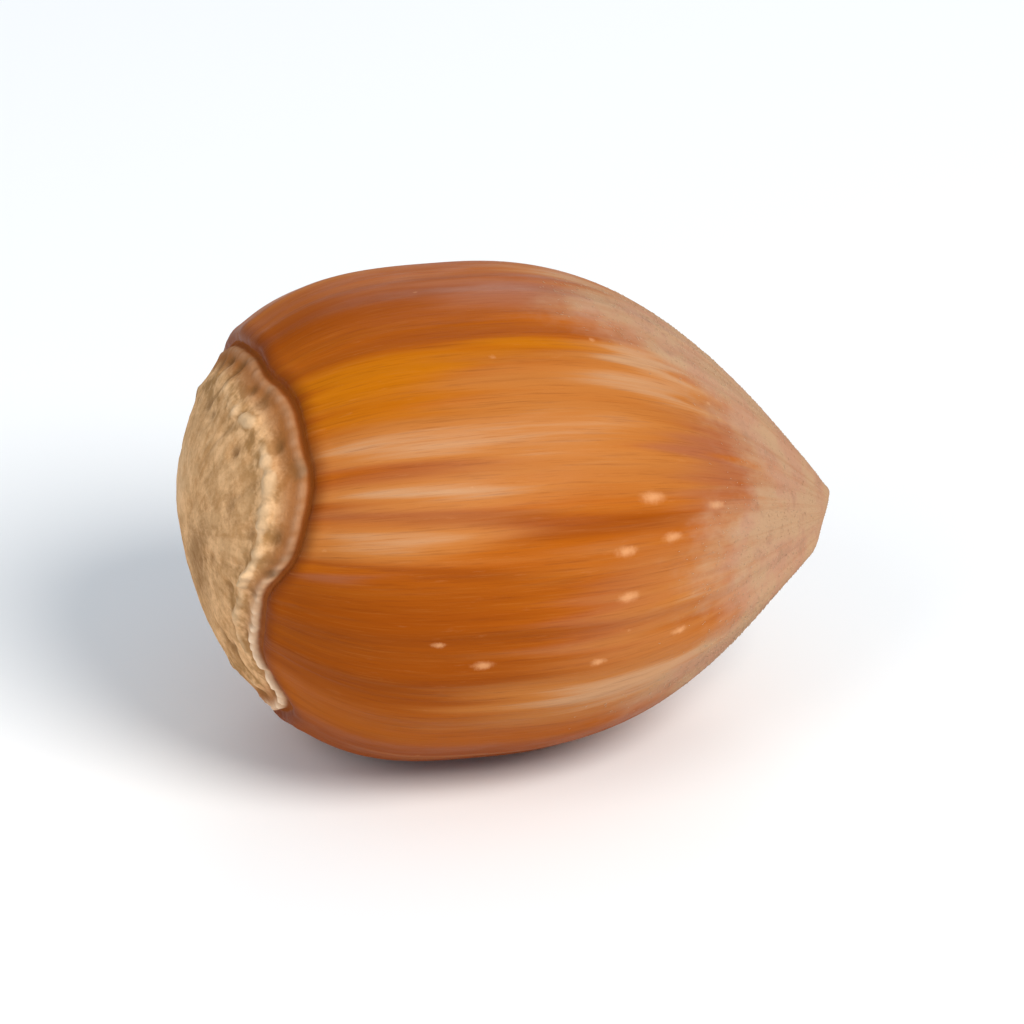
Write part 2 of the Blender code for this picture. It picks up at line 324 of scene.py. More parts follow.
def hump(distance, half_width, power=2):
    """1 at no distance, falling smoothly to 0 past the half width."""
    return np.exp(-(np.abs(distance / half_width) ** power))


def rise(value, start, end):
    """0 before start, 1 after end, and smooth between them."""
    share = np.clip((value - start) / (end - start), 0, 1)
    return share * share * (3 - 2 * share)


def turn(angle, centre):
    """The way from centre round to angle, from minus half a turn to half a turn."""
    return (angle - centre + math.pi) % TURN - math.pi


def blunted(x, y, z):
    """Presses back what lies beyond a leaning plane, for the blunt tip where the flower dried off."""
    plane = RIM_TO_TIP + TIP_LEAN_SIDE * y + TIP_LEAN_UP * (z - TIP_LIFT)
    return -TIP_ROUNDING * np.logaddexp(-x / TIP_ROUNDING, -plane / TIP_ROUNDING)


def outline():
    """The nut's half profile from the hilum's middle to the tip, evenly spaced along its length."""
    share = np.linspace(0, 1, OUTLINE_POINTS)
    nose = np.sin(share * math.pi / 2)
    place = np.concatenate([
        -HILUM_CROWN * (1 - share**CROWN_POWER),
        RIM_TO_WIDEST * share[1:],
        RIM_TO_WIDEST + (RIM_TO_TIP + TIP_CUT - RIM_TO_WIDEST) * nose[1:],
    ])
    radius = np.concatenate([
        HILUM_RADIUS * share,
        RADIUS - (RADIUS - HILUM_RADIUS) * (1 - share[1:]) ** BASE_POWER,
        RADIUS * (1 - nose[1:] ** NOSE_POWER) ** NOSE_SHARPNESS,
    ])
    travelled = np.concatenate([[0], np.cumsum(np.hypot(np.diff(place), np.diff(radius)))])
    rim = travelled[len(share) - 1]
    travel = np.linspace(0, travelled[-1], int(travelled[-1] / OUTLINE_STEP))
    place = np.interp(travel, travelled, place)
    radius = np.interp(travel, travelled, radius)
    kernel = np.ones(int(2 * CORNER_ROUNDING / OUTLINE_STEP) | 1)
    kernel /= len(kernel)
    near_corner = hump(travel - rim, 2 * CORNER_ROUNDING, 4)
    place += near_corner * (np.convolve(place, kernel, "same") - place)
    radius += near_corner * (np.convolve(radius, kernel, "same") - radius)
    along, out = np.gradient(place), np.gradient(radius)
    length = np.hypot(along, out)
    return {"travel": travel, "place": place, "radius": radius, "rim": rim,
            "normal_place": -out / length, "normal_radius": along / length}


def skin_edge(angle, profile):
    """How far along the profile the brown skin starts: a scalloped line with a bay and one long tongue."""
    rng = np.random.default_rng(SEED)
    edge = np.full_like(angle, profile["rim"])
    for waves in SCALLOP_WAVES:
        depth = SCALLOP_DEPTH * rng.uniform(1.5, 3.0) / (3 + waves)
        edge += depth * np.cos(waves * angle + rng.uniform(0, TURN))
    for waves in FRAY_WAVES:
        edge += FRAY_DEPTH * rng.uniform(0.5, 1.0) * np.cos(waves * angle + rng.uniform(0, TURN))
    beyond = turn(angle, TONGUE_ANGLE)
    half_width = np.where(beyond > 0, TONGUE_UPPER_WIDTH, TONGUE_LOWER_WIDTH)
    edge += BAY_DEPTH * hump(turn(angle, BAY_ANGLE), BAY_HALF_WIDTH, 4)
    return edge - TONGUE_REACH * hump(beyond, half_width, 4)


def torn_lip(past_edge, angle):
    """The pale lip of the hilum, torn along its crest where it stands highest. 1 is its full height."""
    rng = np.random.default_rng(SEED + 4)
    torn = np.zeros_like(angle)
    for waves in TORN_WAVES:
        torn += np.cos(waves * angle + rng.uniform(0, TURN)) / len(TORN_WAVES)
    strength = LIP_LEAST + (1 - LIP_LEAST) * hump(turn(angle, LIP_ANGLE), LIP_SPREAD)
    return strength * (1 + TORN_SHARE * torn) * hump(past_edge - LIP_PLACE, LIP_HALF_WIDTH)


def edge_relief(past_edge, angle):
    """The rolled margin of the skin, the crevice in front of it and the pale lip of the hilum."""
    return (SKIN_HEIGHT * rise(past_edge, 0, SKIN_STEP)
            + ROLL_HEIGHT * hump(past_edge - ROLL_PLACE, ROLL_HALF_WIDTH)
            - CREVICE_DEPTH * hump(past_edge - CREVICE_PLACE, CREVICE_HALF_WIDTH)
            + LIP_HEIGHT * torn_lip(past_edge, angle))


def rib_relief(travel, angle, past_edge, to_tip):
    """Low ribs, one at each bundle of fibres, and the ledge beside the tongue of skin."""
    rng = np.random.default_rng(SEED + 1)
    relief = np.zeros_like(angle)
    for number in range(RIB_COUNT):
        middle = (number + rng.uniform(-0.3, 0.3)) * TURN / RIB_COUNT
        height = RIB_HEIGHT * rng.uniform(0.35, 1.0)
        half_width = RIB_HALF_WIDTH * rng.uniform(0.7, 1.4)
        sway = RIB_SWAY * np.sin(travel / RIB_SWAY_LENGTH + rng.uniform(0, TURN))
        relief += height * hump(turn(angle, middle + sway), half_width)
    above = turn(angle, LEDGE_ANGLE + LEDGE_SLOPE * past_edge)
    ledge = rise(above, -LEDGE_STEP / 2, LEDGE_STEP / 2) * rise(-above, -LEDGE_WIDTH, -LEDGE_STEP)
    relief += LEDGE_HEIGHT * ledge * hump(past_edge, LEDGE_REACH)
    return relief * rise(past_edge, 0, RIB_START) * rise(to_tip, RIB_END, RIB_FADE)


def fine_rib_relief(travel, angle, past_edge, to_tip):
    """Hair-fine ribs between the low ones, each over its own stretch of the shell."""
    rng = np.random.default_rng(SEED + 3)
    relief = np.zeros_like(angle)
    for number in range(FINE_RIB_COUNT):
        middle = rng.uniform(-math.pi, math.pi)
        height = FINE_RIB_HEIGHT * rng.uniform(-1.0, 1.0)
        half_width = math.radians(rng.uniform(*FINE_RIB_HALF_WIDTHS))
        sway = FINE_RIB_SWAY * np.sin(travel / FINE_RIB_SWAY_LENGTH + rng.uniform(0, TURN))
        centre, reach = rng.uniform(*FINE_RIB_PLACES) * MM, rng.uniform(*FINE_RIB_REACHES) * MM
        relief += height * hump(turn(angle, middle + sway), half_width) * hump(past_edge - centre, reach, 4)
    return relief * rise(past_edge, 0, RIB_START) * rise(to_tip, RIB_END, FINE_RIB_FADE)


def keel_relief(angle, to_tip):
    """The two keels of the shell's seam, and two weaker ones between them, all fading from the tip."""
    relief = np.zeros_like(angle)
    for degrees, height in KEELS:
        relief += height * hump(turn(angle, math.radians(degrees)), KEEL_HALF_WIDTH)
    return relief * rise(to_tip, KEEL_START, KEEL_FULL) * rise(-to_tip, -KEEL_END, -KEEL_FADE)


def ridge(outward, angle):
    """The wavering, knotted ridge of the hilum, from 0 to about 1."""
    strength = 0.6 + 0.4 * np.cos(2 * turn(angle, RIDGE_HIGHEST_ANGLE))
    for waves in RIDGE_KNOTS:
        strength *= 1 + RIDGE_GAPS * np.cos(waves * angle + waves)
    for waves in RIDGE_CRUMBS:
        strength *= 1 + CRUMB_GAPS * np.cos(waves * angle + waves)
    return strength * hump(outward - RIDGE_PLACE - RIDGE_WAVER * np.cos(7 * angle), RIDGE_HALF_WIDTH)


def hilum_relief(outward, angle):
    """Wrinkles that fan out from the middle, a ridge between broken rows of pits, and an off-centre boss."""
    rng = np.random.default_rng(SEED + 2)
    relief = np.zeros_like(angle)
    for number in range(WRINKLE_COUNT):
        middle = (number + rng.uniform(-0.35, 0.35)) * TURN / WRINKLE_COUNT
        inner = rng.uniform(0.3, 0.7)
        depth = WRINKLE_DEPTH * rng.uniform(0.3, 1.0)
        half_width = math.radians(rng.uniform(1.8, 3.6))
        bend = WRINKLE_BEND * np.sin(4 * outward + rng.uniform(0, TURN))
        relief -= depth * hump(turn(angle, middle + bend), half_width) * rise(outward, inner, inner + 0.2)
    for row_place, count, row_depth, scatter in PIT_ROWS:
        for number in range(count):
            middle = (number + rng.uniform(-0.4, 0.4)) * TURN / count
            place = row_place + rng.uniform(-scatter, scatter)
            half_width = PIT_HALF_WIDTH * rng.uniform(0.8, 1.5) / (place * HILUM_RADIUS)
            reach = rng.uniform(0.03, 0.06)
            depth = row_depth * rng.uniform(0.35, 1.0)
            relief -= depth * hump(turn(angle, middle), half_width) * hump(outward - place, reach)
    relief += RIDGE_HEIGHT * ridge(outward, angle)
    from_boss = np.hypot(outward * np.cos(angle) - BOSS_PLACE[0], outward * np.sin(angle) - BOSS_PLACE[1])
    relief += BOSS_HEIGHT * hump(from_boss, BOSS_HALF_WIDTH)
    return relief * rise(-outward, -1, -1 + RIM_FADE)


def dimple_relief(outward, angle):
    """Small round pits and bumps strewn over the hilum, more of them in its outer half."""
    rng = np.random.default_rng(SEED + 5)
    across, upward = outward * np.cos(angle), outward * np.sin(angle)
    relief = np.zeros_like(angle)
    for number in range(DIMPLE_COUNT):
        place = rng.uniform(0.05, 1.0) ** 0.6 * 0.97
        middle = rng.uniform(0, TURN)
        size = rng.uniform(*DIMPLE_SIZES)
        height = DIMPLE_DEPTH * rng.uniform(-1.0, 0.6)
        apart = np.hypot(across - place * math.cos(middle), upward - place * math.sin(middle))
        relief += height * hump(apart, size)
    return relief * rise(-outward, -1, -1 + RIM_FADE)


def ring_travel(ring, angle, profile):
    """How far along the profile each ring of points lies. Rings crowd at the skin's edge and the tip."""
    edge = skin_edge(angle, profile)
    inside = np.clip(ring / HILUM_RINGS, 0, 1)
    outside = np.clip((ring - HILUM_RINGS) / SHELL_RINGS, 0, 1)
    spread = outside**RING_CROWDING * (1 - outside) + (1 - (1 - outside) ** TIP_CROWDING) * outside
    shell_arc = profile["travel"][-1] - edge
    return edge * (1 - (1 - inside) ** RING_CROWDING) + shell_arc * spread


def nut_points(ring, angle):
    """Points of the skin, the tip turned down as the nut lies, and the values that paint the materials."""
    profile = outline()
    travel = ring_travel(ring, angle, profile)
    edge = skin_edge(angle, profile)
    past_edge = travel - edge
    to_tip = profile["travel"][-1] - travel
    outward = travel / edge
    scar = hilum_relief(outward, angle) + dimple_relief(outward, angle)
    fine_ribs = fine_rib_relief(travel, angle, past_edge, to_tip)
    relief = (edge_relief(past_edge, angle)
              + rib_relief(travel, angle, past_edge, to_tip)
              + fine_ribs
              + keel_relief(angle, to_tip)
              + scar)
    place, radius, out_along, out_round = (
        np.interp(travel, profile["travel"], profile[key])
        for key in ("place", "radius", "normal_place", "normal_radius")
    )
    swell = (1 + TRIANGULAR_SWELL * np.cos(3 * angle + 1.1)
             + OVAL_SWELL * np.cos(2 * angle - 0.7 + OVAL_TWIST * place))
    x = place + out_along * relief
    reach = radius * swell + out_round * relief
    toward_tip = np.clip(place / RIM_TO_TIP, 0, 1) ** TIP_BEND_POWER
    y = -reach * np.cos(angle) * (WIDTH / 2 / RADIUS)
    z = reach * np.sin(angle) * (THICKNESS / 2 / RADIUS) + TIP_LIFT * toward_tip
    x += HILUM_LEAN * z * rise(-place, -RIM_TO_WIDEST, 0)
    points = np.column_stack([blunted(x, y, z), y, z])
    points = points @ np.array(Matrix.Rotation(TIP_DROOP, 3, "Y")).T
    boss = BOSS_HEIGHT * hump(outward, BOSS_HALF_WIDTH)
    values = {
        "past_edge": past_edge / MM,
        "outward": outward,
        "share": np.clip(past_edge / (profile["travel"][-1] - edge), 0, 1),
        "scar": (scar - boss) / MM,
        "ridge": ridge(outward, angle) * (outward < 1),
        "to_tip": to_tip / MM,
        "lip": torn_lip(past_edge, angle),
        "crevice": hump(past_edge - CREVICE_PLACE, CREVICE_HALF_WIDTH),
        "fine_ribs": fine_ribs / FINE_RIB_HEIGHT,
        "fibre": np.column_stack([np.cos(angle) * RADIUS, np.sin(angle) * RADIUS, travel]) / MM,
    }
    return points, values


def resting_shift(points):
    """The move that puts the nut's flat spot at the solid's base and its box over the solid's."""
    low, high = (np.array(corner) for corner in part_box(NODE))
    shift = (low + high) / 2 - (points.min(axis=0) + points.max(axis=0)) / 2
    shift[2] = low[2] - points[:, 2].min() - FLAT_SPOT_DEPTH
    return shift


def streaks(share, angle, rows):
    """How strongly the listed streaks cover each point."""
    cover = np.zeros_like(angle)
    for degrees, half_width, slope, place, reach, strength in rows:
        middle = math.radians(degrees) + math.radians(slope) * (share - place)
        across = hump(turn(angle, middle), math.radians(half_width), 2.5)
        here = strength * across * hump(share - place, reach, 3)
        cover += (1 - np.minimum(cover, 1)) * here
    return cover


def hidden_streaks(seed, count):
    """Seeded streaks of the same kind for the sides that the photo doesn't show."""
    rng = np.random.default_rng(seed)
    rows = []
    for number in range(count):
        half_width = rng.uniform(1.2, 8)
        slope = rng.uniform(-16, 4)
        place, reach = rng.uniform(0, 0.6), rng.uniform(0.1, 0.25)
        rows.append((rng.uniform(*HIDDEN_SIDE), half_width, slope, place, reach, rng.uniform(0.3, 0.9)))
    return tuple(rows)


def ragged_ends(share, angle):
    """The share moved a little from fibre to fibre, so that the streaks end raggedly."""
    rng = np.random.default_rng(SEED + 7)
    moved = np.zeros_like(angle)
    for waves in ENDS_WAVES:
        moved += np.cos(waves * angle + rng.uniform(0, TURN) + 3 * share)
    return share + ENDS_SCATTER * moved


def tip_down(share, angle):
    """How thick the pale down is: thick at the tip, and reaching further from it over the top."""
    start = DOWN_START + 0.02 * np.cos(5 * angle + 1) + 0.015 * np.cos(11 * angle)
    for degrees, half_width, change in DOWN_REACHES:
        start += change * hump(turn(angle, math.radians(degrees)), math.radians(half_width), 2.5)
    return rise(share, start - DOWN_FADE, start + DOWN_FADE)


def add_attribute(mesh, name, values):
    """A number or a vector at each vertex, for the materials to read."""
    kind = "FLOAT" if values.ndim == 1 else "FLOAT_VECTOR"
    attribute = mesh.attributes.new(name, kind, "POINT")
    key = "value" if values.ndim == 1 else "vector"
    attribute.data.foreach_set(key, np.ascontiguousarray(values, dtype=np.float32).ravel())


def skin_faces(rings):
    """Quads between neighbouring rings, and triangles round the two poles."""
    here = np.arange(SEGMENTS)
    after = (here + 1) % SEGMENTS
    last = (rings - 1) * SEGMENTS + 1
    faces = np.column_stack([np.zeros_like(here), 1 + here, 1 + after]).tolist()
    for ring in range(rings - 2):
        low = 1 + ring * SEGMENTS
        high = low + SEGMENTS
        faces += np.column_stack([low + here, high + here, high + after, low + after]).tolist()
    low = last - SEGMENTS
    faces += np.column_stack([low + here, np.full_like(here, last), low + after]).tolist()
    return faces


def make_skin():
    """Rings of points from the middle of the hilum to the tip, joined into one closed skin."""
    rings = HILUM_RINGS + SHELL_RINGS
    row = np.repeat(np.arange(1, rings), SEGMENTS)
    column = np.tile(np.arange(SEGMENTS), rings - 1)
    ring = np.concatenate([[0], row, [rings]]).astype(float)
    angle = np.concatenate([[0], column, [0]]) * TURN / SEGMENTS
    points, values = nut_points(ring, angle)
    shift = resting_shift(points)
    points += shift
    points[:, 2] = np.maximum(points[:, 2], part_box(NODE)[0][2])
    mesh = bpy.data.meshes.new("hazelnut_skin")
    mesh.from_pydata(points.tolist(), [], skin_faces(rings))
    mesh.update()
    mesh.shade_smooth()

    share = values["share"]
    ends = ragged_ends(share, angle)
    swaying = angle + FIBRE_SWAY * np.sin(7 * share + 3 * angle)
    for name, rows, seed, count in STREAK_KINDS:
        values[name] = streaks(ends, swaying, rows + hidden_streaks(seed, count))
    values["down"] = tip_down(share, angle)
    values["weathered"] = 1 - hump(turn(angle, FRESH_ANGLE), FRESH_HALF_WIDTH, 4)
    for name, numbers in values.items():
        add_attribute(mesh, name, numbers)
    return bpy.data.objects.new("hazelnut_skin", mesh), shift


def make_down(shift):
    """Short three-sided hairs that lie along the shell towards the tip, thickest at the tip."""
    rng = np.random.default_rng(SEED + 6)
    ring = HILUM_RINGS + SHELL_RINGS * rng.uniform(*HAIR_RINGS, 10 * HAIR_COUNT)
    angle = rng.uniform(0, TURN, len(ring))
    here, values = nut_points(ring, angle)
    first, last = HAIR_SHARES
    room = np.clip((last - values["share"]) / (last - first), 0, 1)
    wanted = tip_down(values["share"], angle) ** 2 * room
    kept = np.nonzero(rng.uniform(0, 1, len(ring)) < wanted)[0][:HAIR_COUNT]
    # Points a little further along the shell and round it show which way each hair's root faces
    ahead, _ = nut_points(ring + 0.5, angle)
    beside, _ = nut_points(ring, angle + 0.01)
    here, ahead, beside = (points[kept] + shift for points in (here, ahead, beside))
    forward = unit(ahead - here)
    outward = unit(np.cross(beside - here, forward))
    sideways = np.cross(forward, outward)
    lean = rng.normal(0, HAIR_SPREAD / 2, len(kept))[:, None]
    forward = unit(forward + lean * sideways)
    sideways = np.cross(forward, outward)
    length = (HAIR_LENGTH * rng.uniform(*HAIR_LENGTHS, len(kept)) * rise(room[kept], 0, 0.25))[:, None]
    lift = HAIR_LIFT * rng.uniform(*HAIR_LIFTS, len(kept))[:, None]
    root = here - outward * HAIR_ROOT
    middle = here + forward * length * 0.5 + outward * length * lift * 0.4
    end = here + forward * length + outward * length * lift * 0.5
    rows = []
    for centre, size in ((root, 1.0), (middle, HAIR_TAPER)):
        for corner in range(3):
            way = corner * TURN / 3
            rows.append(centre + HAIR_RADIUS * size * (math.cos(way) * sideways + math.sin(way) * outward))
    rows.append(end)
    points = np.stack(rows, axis=1).reshape(-1, 3)
    points[:, 2] = np.maximum(points[:, 2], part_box(NODE)[0][2])
    one = [(2, 1, 0), (0, 1, 4, 3), (1, 2, 5, 4), (2, 0, 3, 5), (3, 4, 6), (4, 5, 6), (5, 3, 6)]
    faces = [tuple(corner + hair * len(rows) for corner in face) for hair in range(len(kept)) for face in one]
    mesh = bpy.data.meshes.new("hazelnut_down")
    mesh.from_pydata(points.tolist(), [], faces)
    mesh.update()
    mesh.shade_smooth()
    return bpy.data.objects.new("hazelnut_down", mesh)


def unit(vectors):
    """The vectors, each made one long."""
    return vectors / np.linalg.norm(vectors, axis=1, keepdims=True)


class Nodes:
    """Short calls for building a material's nodes."""

    def __init__(self, name):
        self.material = bpy.data.materials.new(name)
        self.material.use_nodes = True
        self.tree = self.material.node_tree
        self.shader = self.tree.nodes["Principled BSDF"]

    def put(self, value, socket):
        """Links an output to the socket, or writes a plain value on it."""
        if isinstance(value, bpy.types.NodeSocket):
            self.tree.links.new(value, socket)
        else:
            socket.default_value = value

    def attribute(self, name, output="Fac"):
        node = self.tree.nodes.new("ShaderNodeAttribute")
        node.attribute_name = name
        return node.outputs[output]

    def math(self, operation, first, second=0.0, third=0.0):
        node = self.tree.nodes.new("ShaderNodeMath")
        node.operation = operation
        for value, socket in zip((first, second, third), node.inputs):
            self.put(value, socket)
        return node.outputs[0]

    def add(self, first, second):
        return self.math("ADD", first, second)

    def times(self, first, second):
        return self.math("MULTIPLY", first, second)

    def step(self, value, start, end, low=0.0, high=1.0):
        """A smooth step from low to high as the value goes from start to end."""
        node = self.tree.nodes.new("ShaderNodeMapRange")
        node.interpolation_type = "SMOOTHSTEP"
        for number, item in enumerate((value, start, end, low, high)):
            self.put(item, node.inputs[number])
        return node.outputs[0]

    def stretched(self, scale):
        """The fibre coordinates in millimetres, scaled round the nut and along it."""
        node = self.tree.nodes.new("ShaderNodeVectorMath")
        node.operation = "MULTIPLY"
        self.put(self.attribute("fibre", "Vector"), node.inputs[0])
        node.inputs[1].default_value = scale
        return node.outputs[0]

    def distance(self, place, scale):
        """How far a point is, in scaled fibre coordinates, from the given place."""
        node = self.tree.nodes.new("ShaderNodeVectorMath")
        node.operation = "DISTANCE"
        self.put(self.stretched(scale), node.inputs[0])
        node.inputs[1].default_value = [one * two for one, two in zip(place, scale)]
        return node.outputs["Value"]

    def noise(self, vector, scale=1.0, detail=3.0, roughness=0.55, distortion=0.0):
        node = self.tree.nodes.new("ShaderNodeTexNoise")
        for key, value in (("Vector", vector), ("Scale", scale), ("Detail", detail),
                           ("Roughness", roughness), ("Distortion", distortion)):
            self.put(value, node.inputs[key])
        return node.outputs["Fac"]

    def cells(self, vector, scale=1.0):
        """Distance to the nearest scattered point, and a random number for that point."""
        node = self.tree.nodes.new("ShaderNodeTexVoronoi")
        self.put(vector, node.inputs["Vector"])
        node.inputs["Scale"].default_value = scale
        apart = self.tree.nodes.new("ShaderNodeSeparateColor")
        self.put(node.outputs["Color"], apart.inputs[0])
        return node.outputs["Distance"], apart.outputs[0]

    def mix(self, share, first, second):
        """The first colour where the share is 0 and the second where it is 1."""
        node = self.tree.nodes.new("ShaderNodeMix")
        node.data_type = "RGBA"
        self.put(share, node.inputs[0])
        self.put(first, node.inputs[6])
        self.put(second, node.inputs[7])
        return node.outputs[2]

    def millimetres(self):
        node = self.tree.nodes.new("ShaderNodeVectorMath")
        node.operation = "SCALE"
        where = self.tree.nodes.new("ShaderNodeTexCoord")
        self.put(where.outputs["Object"], node.inputs[0])
        node.inputs["Scale"].default_value = 1 / MM
        return node.outputs[0]

    def bump(self, height, distance, normal=None):
        node = self.tree.nodes.new("ShaderNodeBump")
        self.put(height, node.inputs["Height"])
        node.inputs["Distance"].default_value = distance
        if normal is not None:
            self.put(normal, node.inputs["Normal"])
        return node.outputs[0]


def srgb(red, green, blue):
    """A colour as seen on screen, from 0 to 255, as the linear colour that the nodes use."""
    def linear(value):
        value /= 255
        return value / 12.92 if value <= 0.04045 else ((value + 0.055) / 1.055) ** 2.4
    return (linear(red), linear(green), linear(blue), 1.0)


# Colours of the shell, the down and the hilum
CHESTNUT = srgb(140, 64, 3)
DEEP_LINE = srgb(106, 42, 4)
AMBER = srgb(154, 74, 6)
ORANGE = srgb(170, 87, 11)
RUSSET = srgb(156, 92, 62)
GOLD = srgb(182, 104, 3)
PINK_TAN = srgb(182, 114, 54)
# The palest middles of the pale streaks, partly painted sheen
PALE_TAN_AND_SHEEN = srgb(190, 147, 108)
FLECK = srgb(222, 162, 112)
DOWN_TAN = srgb(183, 150, 118)
DOWN_PINK = srgb(181, 139, 113)
DOWN_GREY = srgb(142, 121, 96)
DOWN_BROWN = srgb(160, 108, 72)
APEX = srgb(96, 62, 36)
HAIR = srgb(200, 170, 142)
HILUM_LIGHT = srgb(232, 184, 134)
HILUM_DARK = srgb(198, 148, 98)
HILUM_PIT = srgb(116, 78, 40)
HILUM_OLIVE = srgb(148, 106, 58)
HILUM_ROSY = srgb(176, 118, 80)
HILUM_UMBER = srgb(153, 88, 33)
RIDGE_PALE = srgb(236, 200, 158)
LIP = srgb(246, 214, 180)
# Painted shade in the crevice between the skin and the hilum
CREVICE_SHADE = srgb(140, 68, 16)


def shell_colour(n):
    """Streaks from chestnut to gold, partly painted shade and sheen, pale scuffs and flecks, and the down at
    the tip.
    """
    broad = n.noise(n.stretched((0.75, 0.75, 0.045)), detail=2.0)
    middle = n.noise(n.stretched((2.2, 2.2, 0.11)), detail=3.0)
    fine = n.noise(n.stretched((7.0, 7.0, 0.30)), detail=3.0, roughness=0.65)
    ragged = n.add(n.times(n.add(middle, -0.5), 0.5), n.times(n.add(fine, -0.5), 0.3))

    def covered(name, start=0.0, end=0.95):
        return n.step(n.add(n.attribute(name), ragged), start, end)

    colour = n.mix(n.step(broad, 0.30, 0.70), AMBER, ORANGE)
    colour = n.mix(n.times(n.step(middle, 0.45, 0.75), 0.3), colour, GOLD)
    colour = n.mix(n.times(covered("gold"), 0.85), colour, GOLD)
    # Dark streaks, with painted shade along the underside
    colour = n.mix(n.times(covered("dark"), 0.85), colour, CHESTNUT)
    # Russet streaks, with a painted reflection along the top
    colour = n.mix(n.times(covered("russet"), 0.85), colour, RUSSET)
    # Pale streaks, partly the shell's own pale tan and partly painted sheen
    pale_and_sheen_colour = n.mix(covered("pale", 0.75, 1.20), PINK_TAN, PALE_TAN_AND_SHEEN)
    colour = n.mix(n.times(covered("pale"), 0.85), colour, pale_and_sheen_colour)
    # Painted shade: darker along the skin's edge, beside the crevice
    margin = n.step(n.add(n.attribute("past_edge"), n.times(ragged, 0.6)), 1.0, 0.1)
    colour = n.mix(n.times(margin, 0.6), colour, DEEP_LINE)

    line = n.step(fine, 0.53, 0.73)
    colour = n.mix(n.times(line, 0.26), colour, DEEP_LINE)
    thread = n.noise(n.stretched((15.0, 15.0, 0.5)), detail=3.0, roughness=0.6)
    colour = n.mix(n.times(n.step(thread, 0.54, 0.74), 0.16), colour, PINK_TAN)
    colour = n.mix(n.times(n.step(thread, 0.46, 0.28), 0.22), colour, DEEP_LINE)
    scuff = n.step(n.noise(n.stretched((5.0, 5.0, 0.8)), detail=4.0, roughness=0.7), 0.60, 0.74)
    colour = n.mix(n.times(scuff, 0.07), colour, FLECK)
    colour = n.mix(n.times(flecks(n), 0.6), colour, FLECK)

    blotch = n.noise(n.stretched((0.7, 0.7, 0.5)), detail=5.0, roughness=0.6)
    patchy = n.add(n.times(n.add(blotch, -0.5), 0.9), n.times(ragged, 0.3))
    down = n.step(n.add(n.attribute("down"), patchy), 0.14, 0.95)
    colour = n.mix(n.times(down, 0.86), colour, down_colour(n))
    return colour, down, fine


def down_colour(n):
    """Pinkish tan, mottled and streaked, with greyish spots, and brown at the very tip."""
    mottle = n.noise(n.millimetres(), scale=0.55, detail=3.0, roughness=0.6)
    spots = n.noise(n.millimetres(), scale=1.1, detail=4.0, roughness=0.65)
    lines = n.noise(n.stretched((1.6, 1.6, 0.12)), detail=4.0, roughness=0.6)
    colour = n.mix(n.step(mottle, 0.38, 0.62), DOWN_TAN, DOWN_PINK)
    colour = n.mix(n.times(n.step(spots, 0.52, 0.72), 0.4), colour, DOWN_GREY)
    colour = n.mix(n.times(n.step(lines, 0.45, 0.70), 0.28), colour, DOWN_BROWN)
    rough = n.times(n.add(n.noise(n.millimetres(), scale=2.5, detail=4.0, roughness=0.7), -0.5), 0.7)
    apex = n.step(n.add(n.attribute("to_tip"), rough), APEX_RADIUS * 1.6 / MM, APEX_RADIUS * 0.4 / MM)
    return n.mix(n.times(apex, 0.8), colour, APEX)


def flecks(n):
    """Soft pale flecks where the photo shows them, and small seeded ones, thicker towards the tip."""
    rough = n.times(n.add(n.noise(n.millimetres(), scale=4.0, detail=4.0, roughness=0.7), -0.5), 0.34)
    shown = 0.0
    for degrees, share, size in FLECKS:
        apart = n.distance(fibre_place(degrees, share), FLECK_SHAPE)
        shown = n.math("MAXIMUM", shown, n.step(n.add(apart, rough), size * 1.5, 0.0))
    distance, chance = n.cells(n.stretched((1.25, 1.25, 1.1)))
    wanted = n.step(n.attribute("share"), 0.25, 0.60, 0.93, 0.72)
    size = n.times(n.step(chance, wanted, 1.0), 0.16)
    spot = n.step(n.add(distance, rough), n.add(size, 0.05), n.times(size, 0.2))
    spread = n.times(n.times(spot, n.step(size, 0.02, 0.12)), 0.6)
    return n.math("MAXIMUM", shown, spread)


def fibre_place(degrees, share):
    """The fibre coordinates, in millimetres, of a place on the shell."""
    profile = outline()
    angle = np.array([math.radians(degrees)])
    edge = skin_edge(angle, profile)[0]
    travel = edge + share * (profile["travel"][-1] - edge)
    return (math.cos(angle[0]) * RADIUS / MM, math.sin(angle[0]) * RADIUS / MM, travel / MM)


